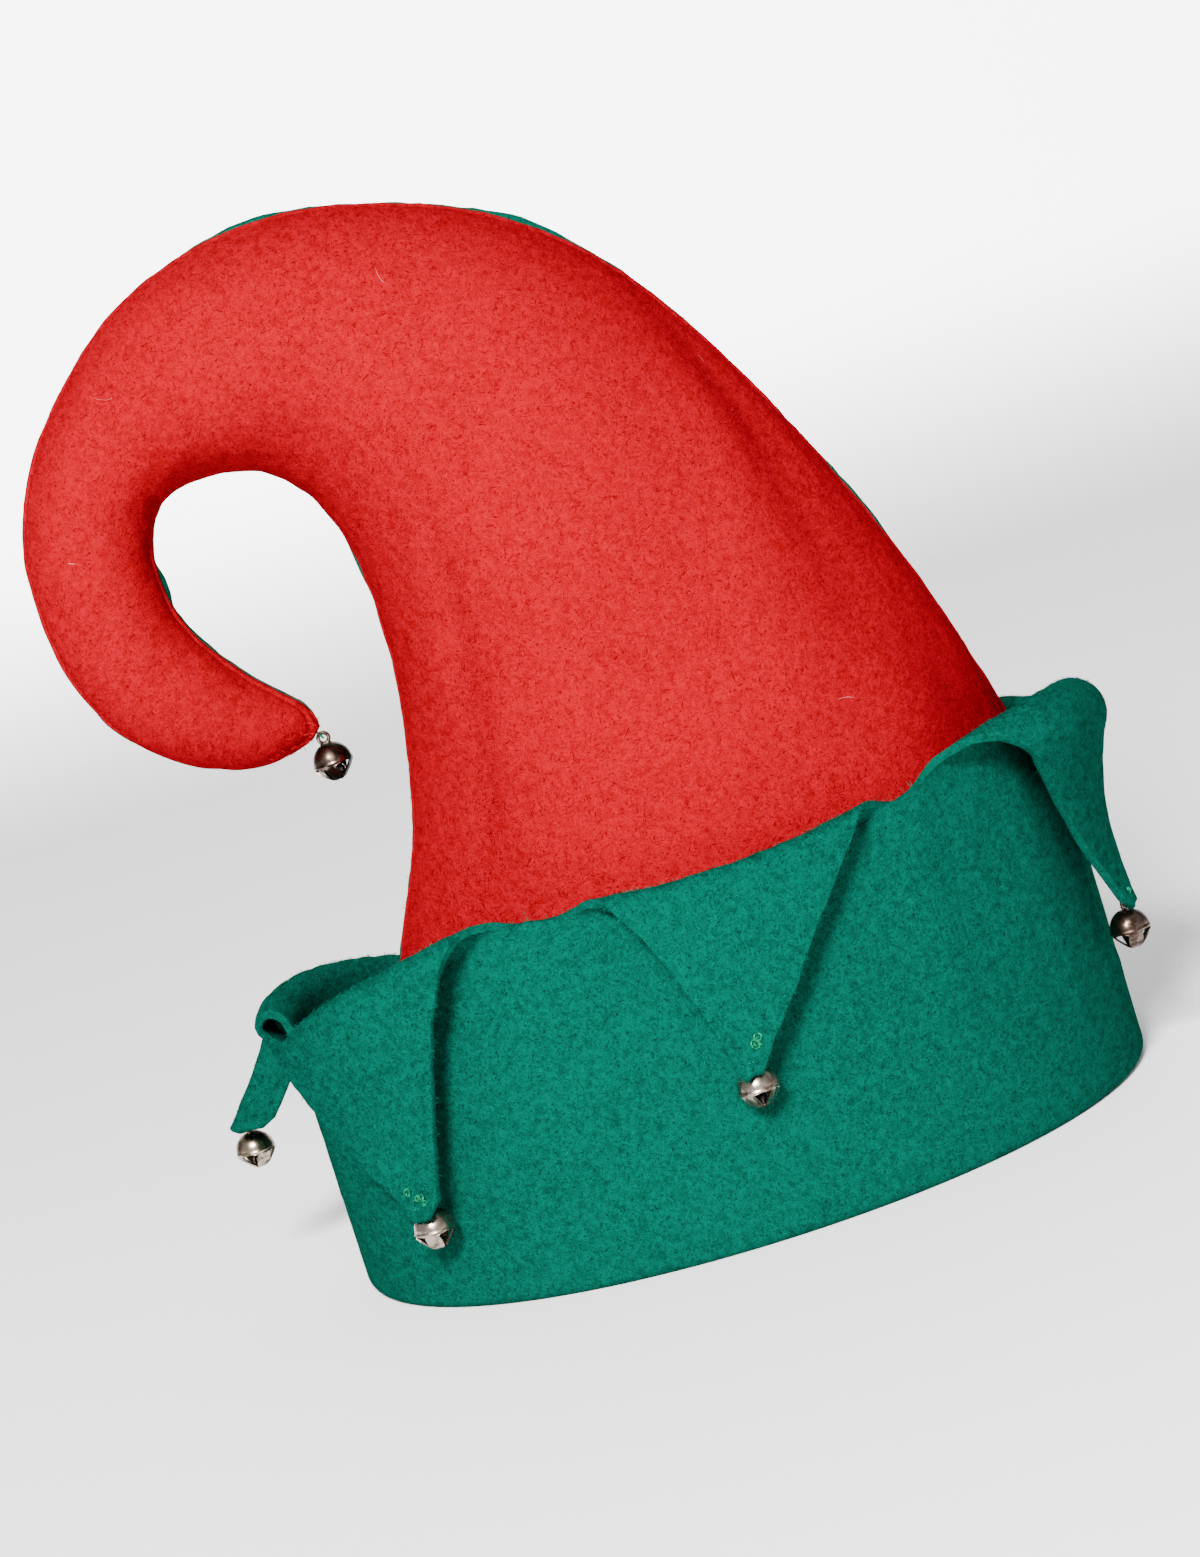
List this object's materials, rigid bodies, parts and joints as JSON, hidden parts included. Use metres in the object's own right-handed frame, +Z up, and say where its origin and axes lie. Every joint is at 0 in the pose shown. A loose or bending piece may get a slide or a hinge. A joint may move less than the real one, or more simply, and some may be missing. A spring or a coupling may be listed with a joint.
{
  "type": "elf hat",
  "caption": "Felt costume hat with a hollow two-colour crown, a peak that curls over to one side, a cuff cut into turned-down points, and a jingle bell on each point and on the peak.",
  "frame": {"origin": "middle of the hat's plan bounding box, on the surface that it rests on", "axes": "+Z up from the rim to the bend of the peak, -Y out of the red front, and the peak curls over to -X"},
  "size_m": [0.2372, 0.2062, 0.2537],
  "materials": {
    "red_felt": "thick fuzzy felt",
    "green_felt": "thick fuzzy felt",
    "bell_metal": "worn plated sheet metal",
    "pellet_metal": "dull"
  },
  "bodies": {
    "root": {"crown_front_panel": "red_felt", "crown_back_panel": "green_felt", "cuff": "green_felt", "bell_1": "bell_metal", "bell_2": "bell_metal", "bell_3": "bell_metal", "bell_4": "bell_metal", "bell_5": "bell_metal", "bell_6": "bell_metal", "bell_peak": "bell_metal", "pellet_1": "pellet_metal", "pellet_2": "pellet_metal", "pellet_3": "pellet_metal", "pellet_4": "pellet_metal", "pellet_5": "pellet_metal", "pellet_6": "pellet_metal", "pellet_peak": "pellet_metal"}
  },
  "joints": []
}
